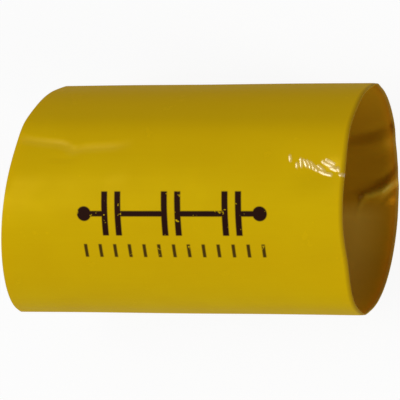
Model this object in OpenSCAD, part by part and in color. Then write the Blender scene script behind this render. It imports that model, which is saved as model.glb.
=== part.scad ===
// Sleeve for a capacitor can about 18 mm across: one seamless tube of plastic film, open at both
// ends. It was pressed flat, cut to length and opened again, so it is a soft oval with a fold line
// along +Y and one along -Y. It lies on its side on a narrow flat, with its length along X and its
// middle over the origin. The film is dented and creased where it was pinched near its +X mouth.
// Angles go round the tube: 0 is the +Y fold, 90 the top, 180 the -Y fold and 270 the bottom.

/* [Film tube] */
// Width of the tube when it is pressed flat, from fold to fold
lay_flat_w = 30; // [24:0.5:40]
// Thickness of the film
wall = 0.12; // [0.08:0.01:0.3]
// Length along the middle of the flat tube
cut_length = 29.2; // [24:0.1:60]
// How much further out the -X cut lies at the -Y fold than at the +Y fold
minus_x_slant = 4.3; // [0:0.1:8]
// How much further out the +X cut lies at the +Y fold than at the -Y fold
plus_x_slant = 1.1; // [0:0.1:8]

/* [Opened shape] */
// How much lower than wide the tube is at its -X mouth
minus_x_squash = 0.4; // [0:0.1:4]
// How much lower than wide the tube is at its +X mouth
plus_x_squash = 0.8; // [0:0.1:4]
// Girth that the creases take up at the +X mouth
creased_girth = 1; // [0:0.1:3]
// How far the top sags at the +X mouth
mouth_sag = 0.4; // [0:0.1:2]
// How far each fold line still stands out as a ridge
fold_ridge_h = 0.15; // [0:0.01:0.4]
// Half-width of that ridge, round the tube
fold_ridge_half_w = 1.1; // [0.8:0.1:3]
// Width of the flat that the tube rests on
rest_flat_w = 3; // [1:0.1:5]

/* [Pinch in the upper wall near the +X mouth] */
// Depth of the dent
pinch_depth = 0.45; // [0:0.05:1]
// Distance of its middle from the +X cut
pinch_inset = 2.6; // [0:0.1:8]
// Half its length along the tube
pinch_half_l = 2.4; // [1:0.1:5]
// Half its width round the tube
pinch_half_w = 1.7; // [1:0.1:4]
// Angle of its middle
pinch_angle = 76; // [45:1:135]

/* [Dip in the upper wall at the +X mouth] */
// Depth of the dip
dip_depth = 0.8; // [0:0.05:1]
// Half its width round the tube
dip_half_w = 3; // [1.5:0.1:6]
// How far it reaches in from the +X cut
dip_reach = 4; // [2:0.5:10]
// Angle of its middle
dip_angle = 127; // [95:1:150]

/* [Crease in the lower wall, curving out to the +X mouth] */
// How far the crease stands up into the tube
lower_crease_h = 0.6; // [0:0.05:1]
// Half-width of the crease
lower_crease_half_w = 0.8; // [0.7:0.1:2]
// How far it reaches in from the +X cut
lower_crease_reach = 4.6; // [2:0.1:10]
// Angle where it meets the +X cut
lower_crease_mouth_angle = 281; // [260:1:300]
// Angle where it runs out inside the tube
lower_crease_inner_angle = 272; // [250:1:290]
// Distance from the +X cut over which it curves from one angle to the other
lower_crease_curve_l = 1.8; // [1:0.1:5]

/* [Crease in the lower wall, nearer the +Y fold] */
// How far the crease stands up into the tube
side_crease_h = 0.5; // [0:0.05:1]
// Half-width of the crease
side_crease_half_w = 0.9; // [0.7:0.1:2]
// How far it reaches in from the +X cut
side_crease_reach = 6; // [2:0.1:12]
// Angle where it meets the +X cut
side_crease_mouth_angle = 299; // [290:1:340]
// Angle where it runs out inside the tube
side_crease_inner_angle = 295; // [290:1:340]

/* [Crease in the upper wall at the -X mouth] */
// Depth of the crease
upper_crease_depth = 0.14; // [0:0.01:0.6]
// Half-width of the crease
upper_crease_half_w = 0.8; // [0.7:0.1:2]
// How far it reaches in from the -X cut
upper_crease_reach = 8; // [2:0.5:20]
// Angle where it meets the -X cut
upper_crease_mouth_angle = 57; // [30:1:85]
// Angle where it runs out inside the tube
upper_crease_inner_angle = 64; // [30:1:85]

/* [Hidden] */

film_colour = [0.76, 0.62, 0.02];

// Girth of the flat tube, and the mean radius that each mouth opens to
girth = 2 * lay_flat_w;
minus_x_mean_r = girth / (2 * PI);
plus_x_mean_r = (girth - creased_girth) / (2 * PI);

// Moves the middle of the sleeve so that its two furthest points are equally far from the origin
length_shift = (minus_x_slant - plus_x_slant) / 4;

// How deep the rest flat cuts into the round bottom
rest_flat_depth = pow(rest_flat_w / 2, 2) / (2 * minus_x_mean_r);

// The lengths over which the two long creases move from one angle to the other
side_crease_curve_l = side_crease_reach / 2;
upper_crease_curve_l = upper_crease_reach / 2;

// The film as a grid: columns round the tube, and rows along it that stand closer near the mouths
columns = 96;
rows = 28;
mouth_crowding = 0.4;

// An angle brought into the half turn either side of the +Y fold
function half_turn(angle) = (angle + 540) % 360 - 180;

// A smooth bump of height 1 that has all but gone at twice its half-width
function bump(distance, half_w) = exp(-pow(distance / half_w, 2));

// Distance round the film from one angle to another
function round_tube(angle, from) = half_turn(angle - from) * PI / 180 * minus_x_mean_r;

// How far across the flat tube an angle is: 0 at the +Y fold and 1 at the -Y fold, on both walls
function across_flat(angle) = abs(half_turn(angle)) / 180;

// Each cut is one straight line across the flat tube
function minus_x_cut(angle) = length_shift - cut_length / 2 + minus_x_slant * (0.5 - across_flat(angle));
function plus_x_cut(angle) = length_shift + cut_length / 2 + plus_x_slant * (0.5 - across_flat(angle));

// A crease starts at a mouth, curves from one angle to another and runs out at its reach
function crease(angle, inset, half_w, reach, mouth_angle, inner_angle, curve_l) =
    let (centre = inner_angle + (mouth_angle - inner_angle) * bump(inset, curve_l))
    bump(round_tube(angle, centre), half_w) * bump(inset, reach);

function fold_ridges(angle) =
    fold_ridge_h * (bump(round_tube(angle, 0), fold_ridge_half_w)
                  + bump(round_tube(angle, 180), fold_ridge_half_w));

function pinch(angle, inset) =
    pinch_depth * bump(round_tube(angle, pinch_angle), pinch_half_w)
                * bump(inset - pinch_inset, pinch_half_l);

function dip(angle, inset) =
    dip_depth * crease(angle, inset, dip_half_w, dip_reach, dip_angle, dip_angle, dip_reach);

function lower_crease(angle, inset) =
    lower_crease_h * crease(angle, inset, lower_crease_half_w, lower_crease_reach,
                            lower_crease_mouth_angle, lower_crease_inner_angle, lower_crease_curve_l);

function side_crease(angle, inset) =
    side_crease_h * crease(angle, inset, side_crease_half_w, side_crease_reach,
                           side_crease_mouth_angle, side_crease_inner_angle, side_crease_curve_l);

function upper_crease(angle, inset) =
    upper_crease_depth * crease(angle, inset, upper_crease_half_w, upper_crease_reach,
                                upper_crease_mouth_angle, upper_crease_inner_angle, upper_crease_curve_l);

// How far the film stands out from the plain oval, with the insets measured from each cut
function out_of_oval(angle, from_minus_x, from_plus_x) =
    fold_ridges(angle) - pinch(angle, from_plus_x) - dip(angle, from_plus_x)
    - lower_crease(angle, from_plus_x) - side_crease(angle, from_plus_x)
    - upper_crease(angle, from_minus_x);

// One point of the outer face: an angle, and a share of the way from the -X cut to the +X cut
function film_point(angle, share) =
    let (x0 = minus_x_cut(angle),
         x1 = plus_x_cut(angle),
         x = x0 + (x1 - x0) * share,
         mean_r = minus_x_mean_r + (plus_x_mean_r - minus_x_mean_r) * share,
         squash = minus_x_squash + (plus_x_squash - minus_x_squash) * share,
         relief = out_of_oval(angle, x - x0, x1 - x),
         half_w = mean_r + squash / 4,
         half_h = mean_r - squash / 4,
         sag = mouth_sag * share * share * max(0, sin(angle)),
         z = half_h - rest_flat_depth + (half_h + relief - sag) * sin(angle))
    [x, (half_w + relief) * cos(angle), max(0, z)];

// Row positions along the tube
function row_share(row) = row / rows - mouth_crowding * sin(360 * row / rows) / (2 * PI);

outer_face = [for (row = [0 : rows]) [for (column = [0 : columns - 1])
    film_point(360 * column / columns, row_share(row))]];

// The outward direction at a grid point, square to the lines between its neighbours
function outward(row, column) =
    let (before = outer_face[max(0, row - 1)][column],
         after = outer_face[min(rows, row + 1)][column],
         right = outer_face[row][(column + columns - 1) % columns],
         left = outer_face[row][(column + 1) % columns],
         square = cross(left - right, after - before))
    square / norm(square);

inner_face = [for (row = [0 : rows]) [for (column = [0 : columns - 1])
    outer_face[row][column] - wall * outward(row, column)]];

// Point numbers: the outer face's rows come first, then the inner face's
function outer_id(row, column) = row * columns + column % columns;
function inner_id(row, column) = (rows + 1) * columns + outer_id(row, column);

// A four-sided patch as two triangles
function patch(a, b, c, d) = [[a, b, c], [a, c, d]];

outer_patches = [for (row = [0 : rows - 1], column = [0 : columns - 1])
    each patch(outer_id(row, column), outer_id(row + 1, column),
               outer_id(row + 1, column + 1), outer_id(row, column + 1))];

inner_patches = [for (row = [0 : rows - 1], column = [0 : columns - 1])
    each patch(inner_id(row, column), inner_id(row, column + 1),
               inner_id(row + 1, column + 1), inner_id(row + 1, column))];

minus_x_rim = [for (column = [0 : columns - 1])
    each patch(inner_id(0, column), outer_id(0, column),
               outer_id(0, column + 1), inner_id(0, column + 1))];

plus_x_rim = [for (column = [0 : columns - 1])
    each patch(outer_id(rows, column), inner_id(rows, column),
               inner_id(rows, column + 1), outer_id(rows, column + 1))];

// The whole film tube, with its outer face, its inner face and the cut edge at each mouth
module sleeve() {
    color(film_colour)
        polyhedron(points = concat([for (line = outer_face) each line], [for (line = inner_face) each line]),
                   faces = concat(outer_patches, inner_patches, minus_x_rim, plus_x_rim));
}

sleeve();
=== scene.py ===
import math

import bpy
import numpy as np
from mathutils import Matrix


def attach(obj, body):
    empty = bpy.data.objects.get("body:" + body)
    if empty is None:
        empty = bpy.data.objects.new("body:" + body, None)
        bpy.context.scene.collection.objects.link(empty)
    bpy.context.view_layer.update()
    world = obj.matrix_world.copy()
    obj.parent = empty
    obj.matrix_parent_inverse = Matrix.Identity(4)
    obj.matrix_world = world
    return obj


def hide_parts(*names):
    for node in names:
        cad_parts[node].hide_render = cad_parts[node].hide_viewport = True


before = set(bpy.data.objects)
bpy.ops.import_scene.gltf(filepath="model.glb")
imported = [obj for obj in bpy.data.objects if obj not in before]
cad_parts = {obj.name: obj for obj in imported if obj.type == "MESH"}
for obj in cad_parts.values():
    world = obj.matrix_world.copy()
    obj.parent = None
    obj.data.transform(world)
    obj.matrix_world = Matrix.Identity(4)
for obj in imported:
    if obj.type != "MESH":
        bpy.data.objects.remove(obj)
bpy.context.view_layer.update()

# A capacitor sleeve: one tube of glossy yellow film, creased by hand and printed with ink. Sizes are
# in millimetres unless a name ends in _M. The film is worked out on a grid of two parameters: an
# angle round the tube (0 at the +Y fold, 90 at the top) and a share of the way along it.
MM = 0.001

# ---------------------------------------------------------------- the film tube, as the frame has it

LAY_FLAT_W = 30.0
WALL = 0.12
CUT_LENGTH = 29.2
MINUS_X_SLANT = 4.3
PLUS_X_SLANT = 1.1
MINUS_X_SQUASH = 0.4
PLUS_X_SQUASH = 0.8
CREASED_GIRTH = 1.0
MOUTH_SAG = 0.4
REST_FLAT_W = 3.0

GIRTH = 2 * LAY_FLAT_W
MINUS_X_R = GIRTH / (2 * math.pi)
PLUS_X_R = (GIRTH - CREASED_GIRTH) / (2 * math.pi)
LENGTH_SHIFT = (MINUS_X_SLANT - PLUS_X_SLANT) / 4
REST_FLAT_DEPTH = (REST_FLAT_W / 2) ** 2 / (2 * MINUS_X_R)
ARC_PER_DEGREE = math.radians(1) * MINUS_X_R

# Angles round the tube
PLUS_Y_FOLD = 0.0
TOP = 90.0
MINUS_Y_FOLD = 180.0
BOTTOM = 270.0


def half_turn(angle):
    """An angle brought to within half a turn either side of zero."""
    return (angle + 540) % 360 - 180


def bump(distance, half_w):
    """A smooth hump: e to the minus the square of distance over half-width."""
    return np.exp(-(distance / half_w) ** 2)


def tent(distance, half_w):
    """A straight-sided ridge: 1 at its crest, falling evenly to 0 at its half-width."""
    return np.clip(1 - np.abs(distance) / half_w, 0, 1)


def round_tube(angle, start):
    """Distance round the film from a start angle."""
    return half_turn(angle - start) * ARC_PER_DEGREE


def cuts(angle):
    """Where the two cuts lie along X: straight lines across the flat tube, so even in the angle."""
    across = 0.5 - np.abs(half_turn(angle)) / 180
    minus_x = LENGTH_SHIFT - CUT_LENGTH / 2 + MINUS_X_SLANT * across
    plus_x = LENGTH_SHIFT + CUT_LENGTH / 2 + PLUS_X_SLANT * across
    return minus_x, plus_x


# ---------------------------------------------------------------- folds, dents and broad creases

FOLD_RIDGE_H = 0.15
FOLD_RIDGE_HALF_W = 1.1

# Each dent: its depth, the angle of its middle, its half-width round the tube, how far its middle is
# from the +X cut, and its half-length along the tube
PINCH = (0.45, 76.0, 1.7, 2.6, 2.4)
DIP = (0.8, 127.0, 3.0, 0.0, 4.0)
LOWER_DENT = (0.30, 293.0, 1.6, 0.0, 2.2)

# Each broad crease: its depth, its half-width, how far it reaches in from its cut, its angle at the
# cut, its angle inside, and the length over which it curves from one to the other
LOWER_CREASE = (0.36, 0.7, 4.6, 281.8, 271.6, 1.25)
SIDE_CREASE = (0.5, 0.9, 6.0, 303.0, 299.0, 3.0)
UPPER_CREASE = (0.02, 0.8, 8.0, 57.0, 64.0, 4.0)
# The share of their depth that the first two lose at the +X cut, and over what length
CUT_EASE = 0.5
CUT_EASE_L = 0.8

# A soft bend along the tube: its height, its half-width, its angle at the -X cut, and how far it has
# turned at the +X cut
BEND_H = 0.22
BEND_HALF_W = 1.6
BEND_ANGLE = 51.0
BEND_TURN = 2.9

# Slight waves in the film. Two cross: each has its turn along the tube, its turns round it and its
# start
WAVE_H = 0.02
WAVES = ((7.0, 2, 0.0), (4.3, 3, 1.0))

# How far the film curls in at the +X cut, and over what length
CURL_H = 0.03
CURL_L = 0.25


def dent(angle, from_plus_x, depth, middle, half_w, inset, half_l):
    """A smooth hollow: its depth times a hump round the tube and a hump along it."""
    return depth * bump(round_tube(angle, middle), half_w) * bump(from_plus_x - inset, half_l)


def crease(angle, inset, depth, half_w, reach, mouth_angle, inner_angle, curve_l):
    """A groove whose middle moves from one angle at the cut to another inside: its depth times a
    hump across it and a hump that starts at the cut."""
    middle = inner_angle + (mouth_angle - inner_angle) * bump(inset, curve_l)
    return depth * (bump(round_tube(angle, middle), half_w) * bump(inset, reach))


def broad_relief(angle, from_minus_x, from_plus_x):
    """The two fold ridges less the frame's dents and creases, outwards from the plain oval. The lower
    creases are eased at the cut, and most of the upper one is left to its sharp line."""
    folds = FOLD_RIDGE_H * (bump(round_tube(angle, PLUS_Y_FOLD), FOLD_RIDGE_HALF_W)
                            + bump(round_tube(angle, MINUS_Y_FOLD), FOLD_RIDGE_HALF_W))
    pinch = dent(angle, from_plus_x, *PINCH)
    dip = dent(angle, from_plus_x, *DIP)
    eased = 1 - CUT_EASE * bump(from_plus_x, CUT_EASE_L)
    lower = crease(angle, from_plus_x, *LOWER_CREASE) * eased
    side = crease(angle, from_plus_x, *SIDE_CREASE) * eased
    upper = crease(angle, from_minus_x, *UPPER_CREASE)
    return folds - pinch - dip - lower - side - upper


# ---------------------------------------------------------------- sharp creases and crinkles

# Sharp creases, each one a chain of straight lines on the film. A crease is measured from one cut
# and from one line along the tube: its points are how far in from the cut they lie and how far
# round from the line towards +Y. Then come its height outwards, the width of its left flank, how
# wide its right flank is beside that, the length over which it fades out at its inner end, and how
# glossy it is beside the crinkles.
SHARP_CREASES = [
    ("plus_x", BOTTOM, [(-0.3, 1.70), (0.56, 1.36), (1.43, 0.80), (2.48, 0.42), (3.60, 0.10)],
     -0.26, 0.42, 1.0, 1.2, 0.20),
    ("plus_x", BOTTOM, [(2.90, 0.30), (3.40, -0.30), (3.86, -1.42)],
     -0.10, 0.40, 1.0, 0.6, 0.10),
    ("plus_x", BOTTOM, [(-0.3, 3.30), (0.50, 2.55), (1.30, 1.62), (2.40, 1.05), (3.30, 0.95),
                        (5.40, 0.75)],
     0.08, 0.70, 0.5, 1.4, 0.0),
    ("plus_x", BOTTOM, [(-0.3, 6.95), (0.88, 6.70), (2.53, 6.13), (6.00, 5.35)],
     0.22, 0.80, 1.0, 2.0, 0.0),
    ("minus_x", TOP, [(0.2, 5.25), (0.9, 5.12), (2.3, 4.90), (3.8, 4.76), (4.5, 4.54), (5.2, 4.08),
                      (6.0, 4.30), (8.8, 4.44), (9.6, 4.62), (10.6, 4.80)],
     -0.12, 0.55, 9.0, 2.0, 0.10),
    ("minus_x", TOP, [(3.60, 3.60), (4.71, 3.40), (5.60, 3.55)],
     -0.04, 0.50, 1.0, 0.8, 0.0),
]
# How close to a cut the sharp creases die out
CALM_L = 0.25

# The crinkles at the pinch: small ridges along such chains from the +X cut and the top line, with
# the slope and width of their left flank, and how wide their right flank is beside that
CRINKLES = [
    ([(4.66, 3.62), (4.60, 3.26)], 0.30, 0.20, 0.5),
    ([(4.05, 2.98), (4.02, 2.72)], 0.33, 0.20, 0.5),
    ([(3.74, 3.38), (3.66, 2.80)], 0.30, 0.22, 0.4),
    ([(3.48, 3.32), (3.24, 2.84)], 0.31, 0.21, 0.4),
    ([(3.18, 3.26), (2.94, 2.74)], 0.27, 0.21, 0.4),
    ([(2.88, 3.14), (2.66, 2.64)], 0.23, 0.21, 0.4),
    ([(2.60, 2.90), (2.38, 2.50)], 0.18, 0.20, 0.4),
    ([(2.45, 2.56), (2.25, 2.46), (1.75, 2.20), (1.20, 2.06)], 0.19, 0.19, 1.0),
    ([(2.30, 2.84), (2.10, 2.70), (1.80, 2.42)], 0.18, 0.16, 1.0),
    ([(1.95, 3.18), (1.45, 2.92), (1.16, 2.76), (0.72, 2.48)], 0.10, 0.18, 1.0),
    ([(1.66, 3.34), (1.00, 2.98)], 0.07, 0.14, 1.0),
    ([(1.25, 2.62), (0.80, 2.42)], 0.15, 0.14, 1.0),
    ([(0.62, 2.62), (0.52, 2.40)], 0.17, 0.15, 1.0),
    ([(0.38, 2.05), (0.05, 1.98)], 0.16, 0.17, 1.0),
]
# A crinkle's gloss grows with its height this many times over, so that it is soon full
CRINKLE_GLOSS_RISE = 4


def from_chain(inset, arc, points):
    """Distance on the film from a chain of straight lines, and whether it is measured to the left."""
    nearest, left = np.full_like(arc, np.inf), np.zeros_like(arc, dtype=bool)
    for (inset_0, arc_0), (inset_1, arc_1) in zip(points, points[1:]):
        length = math.hypot(inset_1 - inset_0, arc_1 - arc_0)
        along_i, along_a = (inset_1 - inset_0) / length, (arc_1 - arc_0) / length
        along = np.clip((inset - inset_0) * along_i + (arc - arc_0) * along_a, 0, length)
        distance = np.hypot(inset - inset_0 - along * along_i, arc - arc_0 - along * along_a)
        side = (arc - arc_0) * along_i - (inset - inset_0) * along_a
        left = np.where(distance < nearest, side > 0, left)
        nearest = np.minimum(nearest, distance)
    return nearest, left


def leaning_ridge(distance, left, flank_w, lean):
    """A straight-sided ridge whose right flank is lean times as wide as its left one."""
    return tent(distance, np.where(left, flank_w, flank_w * lean))


def sharp_creases(angle, from_minus_x, from_plus_x):
    """The straight-flanked creases, each fading out towards its inner end, and a mask of them."""
    relief, mask = np.zeros_like(angle), np.zeros_like(angle)
    for cut, line, points, height, flank_w, lean, end_l, gloss in SHARP_CREASES:
        inset = from_plus_x if cut == "plus_x" else from_minus_x
        arc = round_tube(angle, line) * (1 if line == BOTTOM else -1)
        distance, left = from_chain(inset, arc, points)
        fade = np.clip((points[-1][0] - inset) / end_l, 0, 1) * (1 - bump(inset, CALM_L))
        relief += height * leaning_ridge(distance, left, flank_w, lean) * fade
        mask = np.maximum(mask, gloss * tent(distance, flank_w) * fade)
    return relief, mask


def crinkles(angle, from_plus_x):
    """The small ridges at the pinch and a mask of them."""
    relief, mask = np.zeros_like(angle), np.zeros_like(angle)
    arc = -round_tube(angle, TOP)
    for points, slope, flank_w, lean in CRINKLES:
        distance, left = from_chain(from_plus_x, arc, points)
        ridge = leaning_ridge(distance, left, flank_w, lean)
        relief += slope * flank_w * ridge
        mask = np.maximum(mask, np.minimum(1, ridge * CRINKLE_GLOSS_RISE))
    return relief, mask


# ---------------------------------------------------------------- the film's surface

# How far above and below the floor's level the film eases into lying flat
FLOOR_SOFT = 0.1

ROWS = 150
COLUMNS = 330
# How many faces and how many points each wall has, and where its last row of points starts
WALL_FACES = ROWS * COLUMNS
WALL_POINTS = (ROWS + 1) * COLUMNS
LAST_ROW = ROWS * COLUMNS

# Where the rows crowd together, with places as shares of the way along the tube: how much at the +X
# cut, where that starts and over what stretch it comes up, then how much at the -X cut and over what
# half-width
ROW_CROWD = 6.0
ROW_CROWD_FROM = 0.80
ROW_CROWD_RISE = 0.04
ROW_CROWD_AT_MINUS_X = 0.5
ROW_CROWD_HALF_W = 0.1
# Where the columns crowd together: how much, then the middle and the half-width as shares of a turn
# from the bottom. The first is at the crinkles and the last at the lower creases.
COLUMN_CROWDS = ((3.0, 0.455, 0.035), (0.3, 0.4, 0.1), (1.2, 0.035, 0.05))
# How many places the densities are added up over
CROWD_STEPS = 4001


def film_relief(angle, share, from_minus_x, from_plus_x):
    """The broad relief with the sharp creases, the crinkles, a soft bend along the tube and slight
    waves added outwards, less a dent and a curl at the +X mouth. Also a mask of where it is
    creased."""
    lines, creased = sharp_creases(angle, from_minus_x, from_plus_x)
    ripples, crinkled = crinkles(angle, from_plus_x)
    bend = BEND_H * bump(round_tube(angle, BEND_ANGLE + BEND_TURN * share), BEND_HALF_W)
    hollow = dent(angle, from_plus_x, *LOWER_DENT)
    first, second = (np.sin(share * along + np.radians(angle) * around + start)
                     for along, around, start in WAVES)
    waves = WAVE_H * (first * second)
    curl = CURL_H * bump(from_plus_x, CURL_L)
    broad = broad_relief(angle, from_minus_x, from_plus_x)
    return broad + lines + ripples + bend - hollow + waves - curl, np.maximum(creased, crinkled)


def on_floor(z):
    """Height held above the floor, turning into it through a short parabola."""
    easing = (z + FLOOR_SOFT) ** 2 / (4 * FLOOR_SOFT)
    return np.where(z > FLOOR_SOFT, z, np.where(z < -FLOOR_SOFT, 0, easing))


def film_surface(angle, share):
    """A soft oval whose half-width and half-height change evenly along it, with the relief added
    outwards, sagging towards the +X mouth on top and cut off by the floor below. Gives its points,
    the mask of creases and the distance from the nearer cut."""
    minus_x, plus_x = cuts(angle)
    x = minus_x + (plus_x - minus_x) * share
    mean_r = MINUS_X_R + (PLUS_X_R - MINUS_X_R) * share
    squash = MINUS_X_SQUASH + (PLUS_X_SQUASH - MINUS_X_SQUASH) * share
    half_w, half_h = mean_r + squash / 4, mean_r - squash / 4
    relief, creased = film_relief(angle, share, x - minus_x, plus_x - x)
    up, out = np.sin(np.radians(angle)), np.cos(np.radians(angle))
    sag = MOUTH_SAG * share ** 2 * np.maximum(0, up)
    z = half_h - REST_FLAT_DEPTH + (half_h + relief - sag) * up
    points = np.stack([x, (half_w + relief) * out, on_floor(z)], axis=-1)
    return points, creased, np.minimum(x - minus_x, plus_x - x)


def row_density(share):
    """How close the rows stand: one, and more near the +X cut and, in a hump, at the -X cut."""
    near_plus_x = np.clip((share - ROW_CROWD_FROM) / ROW_CROWD_RISE, 0, 1)
    return 1 + ROW_CROWD * near_plus_x + ROW_CROWD_AT_MINUS_X * bump(share, ROW_CROWD_HALF_W)


def column_density(turn):
    """How close the columns stand: one, and more in a hump at each place where they crowd."""
    return sum((rise * bump(turn - middle, half_w) for rise, middle, half_w in COLUMN_CROWDS), 1)


def crowded(count, density):
    """count + 1 places from 0 to 1 that stand closer together where density is higher."""
    fine = np.linspace(0, 1, CROWD_STEPS)
    weight = density(fine)
    total = np.concatenate([[0], np.cumsum((weight[1:] + weight[:-1]) / 2)])
    return np.interp(np.linspace(0, 1, count + 1), total / total[-1], fine)


def normals_of(grid):
    """Outward directions of a grid of points, closed across its columns and open across its rows."""
    wide = np.concatenate([grid[:, -1:], grid, grid[:, :1]], axis=1)
    round_it = wide[:, 2:] - wide[:, :-2]
    along_it = np.gradient(grid, axis=0)
    square = np.cross(along_it, round_it)
    return -square / np.linalg.norm(square, axis=-1, keepdims=True)


def film_faces():
    """The four-sided faces by their points' numbers: the outer wall, the inner wall turned the other
    way, and the cut edge at each mouth. The inner wall's points come after the outer wall's."""
    row, column = np.meshgrid(np.arange(ROWS), np.arange(COLUMNS), indexing="ij")
    after = (column + 1) % COLUMNS
    here = row * COLUMNS
    up_here = here + COLUMNS
    outside = np.stack([here + column, here + after, up_here + after, up_here + column], -1)
    inside = outside[..., ::-1] + WALL_POINTS
    outer, outer_after = np.arange(COLUMNS), (np.arange(COLUMNS) + 1) % COLUMNS
    inner, inner_after = outer + WALL_POINTS, outer_after + WALL_POINTS
    minus_rim = np.stack([inner, inner_after, outer_after, outer], -1)
    plus_rim = np.stack([outer, outer_after, inner_after, inner], -1) + LAST_ROW
    return np.concatenate([outside.reshape(-1, 4), inside.reshape(-1, 4), minus_rim, plus_rim])


def map_film(mesh, faces, x_of, angle):
    """A UV map that holds, in millimetres, the place along X and the distance from the top line
    towards -Y. The last column's faces take the turn's far end, so that the map doesn't run back."""
    column_of = faces % COLUMNS
    wraps = (column_of.max(axis=1) - column_of.min(axis=1) > 1)[:, None] & (column_of == 0)
    arc_at = (angle - TOP) * ARC_PER_DEGREE
    arc = np.where(wraps, arc_at[-1], arc_at[column_of])
    place = np.stack([x_of[faces], arc], -1)
    mesh.uv_layers.new(name="film_place").data.foreach_set("uv", place.ravel())


def sharpen_cuts(mesh):
    """Sharp edges along the four rings where the walls meet the cut edges."""
    ends = np.empty(len(mesh.edges) * 2, dtype=np.int32)
    mesh.edges.foreach_get("vertices", ends)
    ring_of = np.full(2 * WALL_POINTS, -1)
    for number, start in enumerate((0, LAST_ROW, WALL_POINTS, WALL_POINTS + LAST_ROW)):
        ring_of[start:start + COLUMNS] = number
    a, b = ring_of[ends[0::2]], ring_of[ends[1::2]]
    sharp = mesh.attributes.new("sharp_edge", "BOOLEAN", "EDGE")
    sharp.data.foreach_set("value", (a == b) & (a >= 0))


def film_mesh():
    """The closed film: an outer grid, an inner grid one wall inside it and a cut edge at each mouth.
    The inner wall has the second material."""
    share = crowded(ROWS, row_density)
    angle = BOTTOM - 360 + 360 * crowded(COLUMNS, column_density)
    shares, angles = np.meshgrid(share, angle[:-1], indexing="ij")
    outer, creased, from_cut = film_surface(angles, shares)
    inner = outer - WALL * normals_of(outer)
    points = np.concatenate([outer.reshape(-1, 3), inner.reshape(-1, 3)])
    faces = film_faces()

    mesh = bpy.data.meshes.new("film_sleeve")
    mesh.from_pydata((points * MM).tolist(), [], faces.tolist())
    mesh.polygons.foreach_set("use_smooth", np.ones(len(faces), dtype=bool))
    slots = np.zeros(len(faces), dtype=np.int32)
    slots[WALL_FACES:2 * WALL_FACES] = 1
    mesh.polygons.foreach_set("material_index", slots)
    map_film(mesh, faces, points[:, 0], angle)
    for name, values in (("creased", creased), ("from_cut", from_cut)):
        spread = mesh.attributes.new(name, "FLOAT", "POINT")
        spread.data.foreach_set("value", np.tile(values.ravel(), 2))
    sharpen_cuts(mesh)
    mesh.update()
    return mesh


# ---------------------------------------------------------------- shader tools


class Wire:
    """A shader value. Arithmetic on it adds Math nodes."""

    def __init__(self, tree, socket):
        self.tree, self.socket = tree, socket

    def math(self, operation, *others):
        """A Math node on this value and the others."""
        sockets = dict(enumerate((self,) + others))
        return self.tree.add("ShaderNodeMath", {"operation": operation}, sockets)

    def __add__(self, other):
        return self.math("ADD", other)

    def __radd__(self, other):
        return self.math("ADD", other)

    def __sub__(self, other):
        return self.math("SUBTRACT", other)

    def __rsub__(self, other):
        return (self * -1) + other

    def __mul__(self, other):
        return self.math("MULTIPLY", other)

    def __rmul__(self, other):
        return self.math("MULTIPLY", other)

    def __truediv__(self, other):
        return self.math("DIVIDE", other)

    def __abs__(self):
        return self.math("ABSOLUTE")

    def either(self, other):
        """The greater of the two."""
        return self.math("MAXIMUM", other)

    def limited(self):
        """Held between 0 and 1."""
        return self.math("MAXIMUM", 0.0).math("MINIMUM", 1.0)

    def ramp(self, start, end):
        """0 at start, changing evenly to 1 at end, which may be the lower of the two."""
        return ((self - start) / (end - start)).limited()

    def falling(self, reach):
        """1 at zero, falling evenly to 0 at reach."""
        return self.ramp(reach, 0)

    def repeated(self, pitch):
        """Brought to within half a pitch either side of zero, for a pattern that repeats."""
        return self.math("WRAP", pitch / 2, -pitch / 2)


class Tree:
    """The node tree of a new material, or of a world where kind is "World"."""

    def __init__(self, name, kind="Material"):
        made = bpy.data.worlds if kind == "World" else bpy.data.materials
        self.kind = kind
        self.owner = made.new(name)
        self.owner.use_nodes = True
        self.nodes = self.owner.node_tree.nodes
        self.links = self.owner.node_tree.links
        self.nodes.clear()

    def add(self, kind, settings=None, sockets=None, out=0):
        """Adds a node, sets its settings, then sets or links its sockets, and gives an output."""
        node = self.nodes.new(kind)
        for name, setting in (settings or {}).items():
            setattr(node, name, setting)
        for name, given in (sockets or {}).items():
            if isinstance(given, Wire):
                self.links.new(given.socket, node.inputs[name])
            else:
                node.inputs[name].default_value = given
        return Wire(self, node.outputs[out]) if len(node.outputs) else None

    def attribute(self, name):
        """A value that the mesh holds at each of its points."""
        return self.add("ShaderNodeAttribute", {"attribute_name": name}, out=2)

    def noise(self, place, scale, detail=2.0, roughness=0.5):
        """Cloudy noise from 0 to 1."""
        return self.add("ShaderNodeTexNoise", {"noise_dimensions": "3D"},
                        {"Vector": place, "Scale": scale, "Detail": detail, "Roughness": roughness})

    def mixed(self, share, a, b):
        """Colour a where share is 0 and colour b where it is 1."""
        return self.add("ShaderNodeMix", {"data_type": "RGBA"}, {"Factor": share, 6: a, 7: b}, out=2)

    def stretched(self, place, by):
        """A place with each of its coordinates multiplied, so that a pattern on it is drawn out."""
        return self.add("ShaderNodeVectorMath", {"operation": "MULTIPLY"}, {0: place, 1: by})

    def seen(self):
        """1 for rays from the camera, straight or by way of gloss or glass, and 0 for the others."""
        rays = self.add("ShaderNodeLightPath").socket.node.outputs
        straight, gloss, glass = (Wire(self, rays[f"Is {name} Ray"])
                                  for name in ("Camera", "Glossy", "Transmission"))
        return straight.either(gloss).either(glass)

    def finish(self, shader):
        """Links the shader to the output and gives the material or world."""
        self.add("ShaderNodeOutput" + self.kind, None, {"Surface": shader})
        return self.owner


# ---------------------------------------------------------------- the ink mark

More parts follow.
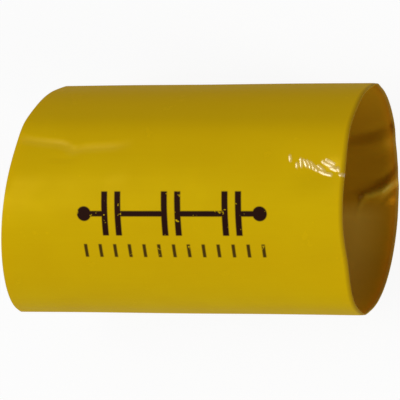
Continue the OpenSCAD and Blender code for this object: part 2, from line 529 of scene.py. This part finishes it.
# A drawing sign for capacitors in a row, over a row of ticks, in millimetres on the film: along X,
# and round the film from the top line towards -Y
MARK_X = 0.85
SIGN_Y = 1.2
SIGN_HALF_H = 1.85
SIGN_HALF_W = 8.2
PLATE_HALF_W = 0.27
PLATE_GAP = 1.15
SIGN_PITCH = 5.2
LEAD_HALF_H = 0.24
DOT_R = 0.62
TICK_Y = 4.4
TICK_HALF_H = 0.6
TICK_HALF_W = 0.15
TICK_PITCH = 1.28
INK_EDGE = 0.11
# How much ink the thin ticks hold
TICK_INK = 0.93


def within(distance, reach):
    """1 at distances below reach and 0 further out, changing over the ink's soft edge."""
    return ((reach - distance) / INK_EDGE + 0.5).limited()


def ink_mark(x, y):
    """1 where the ink is: leads between pairs of plates, with a round terminal at each end, over a
    row of ticks."""
    along = x - MARK_X
    across = y - SIGN_Y
    in_sign = along.repeated(SIGN_PITCH)
    plate = within(abs(abs(in_sign) - PLATE_GAP / 2), PLATE_HALF_W) * within(abs(across), SIGN_HALF_H)
    lead = within(abs(across), LEAD_HALF_H) * (1 - within(abs(in_sign), PLATE_GAP / 2))
    sign = plate.either(lead) * within(abs(along), SIGN_HALF_W - DOT_R)
    from_middle = abs(along) - (SIGN_HALF_W - DOT_R)
    dot = within((from_middle.math("POWER", 2.0) + across * across).math("SQRT"), DOT_R)
    tick = within(abs(along.repeated(TICK_PITCH)), TICK_HALF_W) * within(abs(y - TICK_Y), TICK_HALF_H)
    ticks = tick * within(abs(along), SIGN_HALF_W) * TICK_INK
    return sign.either(dot).either(ticks)


# ---------------------------------------------------------------- the film's finish

# Noise in the film: how fine it is, its detail and its roughness
CLOUDS = (260.0, 3.0, 0.5)
DIE_LINES = (2600.0, 2.0, 0.5)
SMEARS = (420.0, 4.0, 0.65)
RIPPLE = (330.0, 2.0, 0.5)
NICKS = (1380.0, 3.0, 0.6)
# The die lines are drawn out along X
DRAWN_OUT = (0.06, 1.0, 1.0)

# How much of the deeper colour the clouds and the die lines bring, and where it starts
CLOUD_DEPTH = 1.1
LINE_DEPTH = 0.5
DEEP_START = 0.55

# How rough the film is, where its smears start and how much rougher they are
FILM_ROUGHNESS = 0.2
SMEAR_START = 0.45
SMEAR_ROUGHNESS = 0.35

# How high the ripple, the die lines and the smears stand beside each other
RIPPLE_RISE = 0.7
LINE_RISE = 0.10
SMEAR_RISE = 0.12
BUMP_DEPTH_M = 0.00002

# Share of the light that the face mirrors and the colour that it has there at a low angle, then the
# gloss coat, which is thin on plain film and full on the creases
FILM_GLINT = 0.07
FILM_TINT = (0.85, 0.9, 0.85, 1)
FILM_IOR = 1.5
COAT_PLAIN = 0.02
COAT_CREASED = 0.9
COAT_ROUGHNESS = 0.2
COAT_IOR = 1.9

# The light that comes through the film, as a share of all, and its colour
GLOW_SHARE = 0.12
FILM_GLOW = (0.80, 0.26, 0.006, 1)

# The fold lines' distance from the top line
FOLD_AT = LAY_FLAT_W / 2

# The printed side. A deeper colour, painted shade, covers the film by the +Y fold and, in part, the
# flank between the top line and the -Y fold. A brown laid along the +X cut is painted shade.
FILM_COLOUR = (0.575, 0.392, 0.0010, 1)
FILM_DEEP = (0.535, 0.348, 0.0007, 1)
# Painted shade: the deeper colour by the +Y fold and on the -Y flank, its reach by the fold, and the
# middle and share of the flank's part
FILM_SHADED = (0.520, 0.325, 0.0008, 1)
FOLD_SHADE_REACH = 11.0
FLANK_SHADE_AT = 5.6
FLANK_SHADE = 0.42
INK_COLOUR = (0.016, 0.005, 0.003, 1)
INK_ROUGHNESS = 0.12
INK_SHADE = 0.9
INK_WORN = (0.30, 0.3625)
# Painted shade: the brown along the +X cut, how far in it reaches, where it comes up along X and its
# share
CUT_SHADE_BROWN = (0.20, 0.11, 0.003, 1)
CUT_SHADE_REACH = 0.4
CUT_SHADE_ALONG = (0, 10)
CUT_SHADE_SHARE = 0.8

# The plain side, with the reach and the share of each colour that is laid over it
# Painted shade: the plain side's colours are darker than the printed side's, for the inside of the
# tube
INSIDE_SHADED_COLOUR = (0.365, 0.197, 0.0055, 1)
INSIDE_SHADED_DEEP = (0.315, 0.156, 0.004, 1)
# Painted light: a brighter colour by the folds inside, and its reach
INSIDE_FOLD_LIGHT = (0.58, 0.305, 0.009, 1)
INSIDE_FOLD_LIGHT_REACH = 9.0
# Painted light: a bright orange glow at the cuts, its reach and its share
INSIDE_EDGE_LIGHT = (0.820, 0.430, 0.014, 1)
INSIDE_EDGE_LIGHT_REACH = 1.3
INSIDE_EDGE_LIGHT_SHARE = 0.7
# Painted highlight: a paler colour on the crests of creases, how fast it rises with the crease mask
# and its share
INSIDE_CREST_HIGHLIGHT = (0.52, 0.39, 0.030, 1)
CREST_HIGHLIGHT_RISE = 5
CREST_HIGHLIGHT_SHARE = 0.6
# Painted light: a paler band along the rim, with its reach and how fast it rises; the glow is
# lessened there
INSIDE_RIM_LIGHT = (0.52, 0.34, 0.045, 1)
RIM_REACH = 0.3
RIM_RISE = 1.6
RIM_SHADE = 0.5
INSIDE_GLOW = 1.35 * GLOW_SHARE
EDGE_GLOW = 0.46
# A painted patch of light inside, paler and greyer, for light through the lower wall: where it starts
# and is full, and where it ends, in from the cut; its edges round the film, from the top line and at
# the bottom; and where it comes up along X
INSIDE_LIGHT_PATCH = (0.60, 0.40, 0.050, 1)
LIGHT_PATCH_IN = (0.8, 3.4)
LIGHT_PATCH_OUT = (11.0, 5.5)
LIGHT_PATCH_FROM_TOP = (0, 10)
LIGHT_PATCH_TO_BOTTOM = (30.0, 28.5)
LIGHT_PATCH_ALONG = (0, 5)
LIGHT_PATCH_SHARE = 0.6


def printed_side(tree, colour, place, along, across, from_cut):
    """The outside's colour, glow and ink: deeper by the +Y fold and on the -Y flank, painted shade,
    inked with small nicks rubbed out of the ink, and brown along the +X cut, painted shade."""
    # Painted shade: deeper by the +Y fold and on the -Y flank
    fold_shading = abs(across + FOLD_AT).ramp(FOLD_AT, FOLD_AT - FOLD_SHADE_REACH)
    flank_shade = abs(across - FLANK_SHADE_AT).falling(FLANK_SHADE_AT) * FLANK_SHADE
    colour = tree.mixed(fold_shading.either(flank_shade), colour, FILM_SHADED)
    ink = ink_mark(along, across) * tree.noise(place, *NICKS).ramp(*INK_WORN)
    colour = tree.mixed(ink, colour, INK_COLOUR)
    # Painted shade: brown along the +X cut
    cut_shade = from_cut.falling(CUT_SHADE_REACH) * along.ramp(*CUT_SHADE_ALONG) * CUT_SHADE_SHARE
    return tree.mixed(cut_shade, colour, CUT_SHADE_BROWN), GLOW_SHARE * (1 - ink * INK_SHADE), ink


def plain_side(tree, colour, along, across, from_cut, creased):
    """The inside's colour and glow, with painted light and shade: darker colours, painted light by
    the folds, a painted patch of light on one side of the +X mouth, a painted glow at the cuts,
    painted highlights on the crests of creases and a painted light band on the rim."""
    # Painted light by the folds inside
    fold_shading = abs(abs(across) - FOLD_AT).falling(INSIDE_FOLD_LIGHT_REACH)
    colour = tree.mixed(fold_shading, colour, INSIDE_FOLD_LIGHT)
    # Painted patch of light on one side of the +X mouth
    light_patch = from_cut.ramp(*LIGHT_PATCH_IN) * from_cut.ramp(*LIGHT_PATCH_OUT) * along.ramp(*LIGHT_PATCH_ALONG)
    light_patch = light_patch * across.ramp(*LIGHT_PATCH_FROM_TOP) * across.ramp(*LIGHT_PATCH_TO_BOTTOM)
    colour = tree.mixed(light_patch * LIGHT_PATCH_SHARE, colour, INSIDE_LIGHT_PATCH)
    by_cut = from_cut.falling(INSIDE_EDGE_LIGHT_REACH).math("POWER", 2.0)
    # Painted glow at the cuts
    colour = tree.mixed(by_cut * INSIDE_EDGE_LIGHT_SHARE, colour, INSIDE_EDGE_LIGHT)
    # Painted highlight on the crests of creases
    colour = tree.mixed((creased * CREST_HIGHLIGHT_RISE).limited() * CREST_HIGHLIGHT_SHARE, colour, INSIDE_CREST_HIGHLIGHT)
    at_rim = (from_cut.falling(RIM_REACH) * RIM_RISE).limited()
    glow = (INSIDE_GLOW + EDGE_GLOW * by_cut) * (1 - at_rim * RIM_SHADE)
    # Painted light band along the rim
    return tree.mixed(at_rim, colour, INSIDE_RIM_LIGHT), glow


def film_finish(name, printed):
    """Glossy film that lets some light through, with cloudy colour, die lines along the tube, faint
    finger smears and, on the printed side, the ink."""
    tree = Tree(name)
    place = tree.add("ShaderNodeTexCoord", out="Object")
    clouds = tree.noise(place, *CLOUDS)
    die_lines = tree.noise(tree.stretched(place, DRAWN_OUT), *DIE_LINES)
    smears = tree.noise(place, *SMEARS)
    on_film = tree.add("ShaderNodeUVMap", {"uv_map": "film_place"})
    along = tree.add("ShaderNodeSeparateXYZ", None, {0: on_film})
    across = Wire(tree, along.socket.node.outputs["Y"])
    from_cut = tree.attribute("from_cut")
    creased = tree.attribute("creased")

    deeper = (clouds * CLOUD_DEPTH + die_lines * LINE_DEPTH - DEEP_START).limited()
    rough = FILM_ROUGHNESS + (smears - SMEAR_START).limited() * SMEAR_ROUGHNESS
    if printed:
        colour = tree.mixed(deeper, FILM_COLOUR, FILM_DEEP)
        colour, glow, ink = printed_side(tree, colour, place, along, across, from_cut)
        rough = rough + ink * INK_ROUGHNESS
    else:
        # Painted shade: the plain side's darker colours
        colour = tree.mixed(deeper, INSIDE_SHADED_COLOUR, INSIDE_SHADED_DEEP)
        colour, glow = plain_side(tree, colour, along, across, from_cut, creased)

    height = tree.noise(place, *RIPPLE) * RIPPLE_RISE + die_lines * LINE_RISE + smears * SMEAR_RISE
    normal = tree.add("ShaderNodeBump", None, {
        "Strength": 1.0, "Distance": BUMP_DEPTH_M, "Height": height})
    film = tree.add("ShaderNodeBsdfPrincipled", None, {
        "Base Color": colour, "Roughness": rough, "Normal": normal, "Metallic": FILM_GLINT,
        "IOR": FILM_IOR, "Specular IOR Level": 0.0, "Specular Tint": FILM_TINT,
        "Coat Weight": COAT_PLAIN + COAT_CREASED * creased, "Coat Roughness": COAT_ROUGHNESS,
        "Coat IOR": COAT_IOR})
    through = tree.add("ShaderNodeBsdfTranslucent", None, {"Color": FILM_GLOW})
    return tree.finish(tree.add("ShaderNodeMixShader", None, {0: glow, 1: film, 2: through}))


def sleeve():
    """The film piece, printed outside and plain inside, in place of the frame's solid."""
    mesh = film_mesh()
    mesh.materials.append(film_finish("printed_film", True))
    mesh.materials.append(film_finish("plain_film", False))
    piece = bpy.data.objects.new("film_sleeve", mesh)
    bpy.context.scene.collection.objects.link(piece)
    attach(piece, "root")
    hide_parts("sleeve")


# ---------------------------------------------------------------- floor, lamps and camera

FLOOR_HALF_M = 1.5
FLOOR_COLOUR = (0.70, 0.70, 0.70, 1)
FLOOR_ROUGHNESS = 0.7
FLOOR_GLOSS = 0.1
# The paper's grain: how fine it is, and how much rougher it is there
GRAIN = 900.0
GRAIN_ROUGHNESS = 0.1
# How far the floor is lifted to plain white where it is seen, which leaves the shadow the rest
FLOOR_LIFT = 0.90
WHITE = (1, 1, 1, 1)


def floor():
    """Pale paper that is white where it is seen and keeps the sleeve's shadow."""
    corners = [(-FLOOR_HALF_M, -FLOOR_HALF_M, 0), (FLOOR_HALF_M, -FLOOR_HALF_M, 0),
               (FLOOR_HALF_M, FLOOR_HALF_M, 0), (-FLOOR_HALF_M, FLOOR_HALF_M, 0)]
    mesh = bpy.data.meshes.new("floor")
    mesh.from_pydata(corners, [], [(0, 1, 2, 3)])
    tree = Tree("pale_paper")
    grain = tree.noise(tree.add("ShaderNodeTexCoord", out="Object"), GRAIN)
    paper = tree.add("ShaderNodeBsdfPrincipled", None, {
        "Base Color": FLOOR_COLOUR, "Roughness": grain * GRAIN_ROUGHNESS + FLOOR_ROUGHNESS,
        "Specular IOR Level": FLOOR_GLOSS})
    white = tree.add("ShaderNodeEmission", None, {"Color": WHITE, "Strength": 1.0})
    lifted = tree.add("ShaderNodeMixShader", None, {0: tree.seen() * FLOOR_LIFT, 1: paper, 2: white})
    mesh.materials.append(tree.finish(lifted))
    ground = bpy.data.objects.new("floor", mesh)
    bpy.context.scene.collection.objects.link(ground)


def turned_to(position, target):
    """The turn that points a lamp or camera at position towards target, with +Y up in its picture."""
    back = np.array(position, float) - np.array(target, float)
    back /= np.linalg.norm(back)
    right = np.cross((0, 1, 0), back)
    right /= np.linalg.norm(right)
    up = np.cross(back, right)
    return [[right[i], up[i], back[i], position[i]] for i in range(3)] + [[0, 0, 0, 1]]


def placed(thing, position, target):
    """Puts a lamp or camera into the scene at position, turned towards target."""
    thing.matrix_world = Matrix(turned_to(position, target))
    bpy.context.scene.collection.objects.link(thing)


# What the lamps and the camera point at
MIDDLE_M = (0.00033, -0.00007, 0.0092)

# Each lamp: where it stands as seen from the sleeve, its size along X and along Y in metres, and how
# bright it shines
LAMP_DISTANCE_M = 0.6
LAMPS = {
    "soft_key": ((-0.60, -0.12, 0.70), 0.30, 0.30, 3.6),
    "strip_lamp": ((-0.50, 0.10, 0.86), 0.14, 0.34, 6.5),
    "low_side_lamp": ((0.90, -0.28, 0.32), 0.16, 0.16, 22.0),
}
WORLD_LIGHT = 0.50


def lamps():
    """The lamps, and a world that is white where it is seen and dimmer as a light."""
    for name, (direction, size_x, size_y, radiance) in LAMPS.items():
        data = bpy.data.lights.new(name, "AREA")
        data.shape = "RECTANGLE"
        data.size = size_x
        data.size_y = size_y
        data.energy = radiance * math.pi * size_x * size_y
        length = math.hypot(*direction)
        position = [m + part / length * LAMP_DISTANCE_M for m, part in zip(MIDDLE_M, direction)]
        placed(bpy.data.objects.new(name, data), position, MIDDLE_M)
    studio = Tree("studio", "World")
    strength = studio.seen() * (1 - WORLD_LIGHT) + WORLD_LIGHT
    bpy.context.scene.world = studio.finish(studio.add("ShaderNodeBackground", None, {
        "Color": WHITE, "Strength": strength}))


CAMERA_ELEVATION = 71.5
CAMERA_DISTANCE_M = 0.2553
CAMERA_LENS = 269.2
CAMERA_SENSOR_W = 36
CAMERA_NEAR_M = 0.01


def camera():
    """A long lens that looks down from the +X side."""
    data = bpy.data.cameras.new("camera")
    data.lens = CAMERA_LENS
    data.sensor_width = CAMERA_SENSOR_W
    data.clip_start = CAMERA_NEAR_M
    tilt = math.radians(90 - CAMERA_ELEVATION)
    back = (math.sin(tilt), 0, math.cos(tilt))
    position = [m + part * CAMERA_DISTANCE_M for m, part in zip(MIDDLE_M, back)]
    thing = bpy.data.objects.new("camera", data)
    placed(thing, position, MIDDLE_M)
    bpy.context.scene.camera = thing


sleeve()
floor()
lamps()
camera()
bpy.context.scene.view_settings.view_transform = "Standard"

bpy.context.view_layer.update()
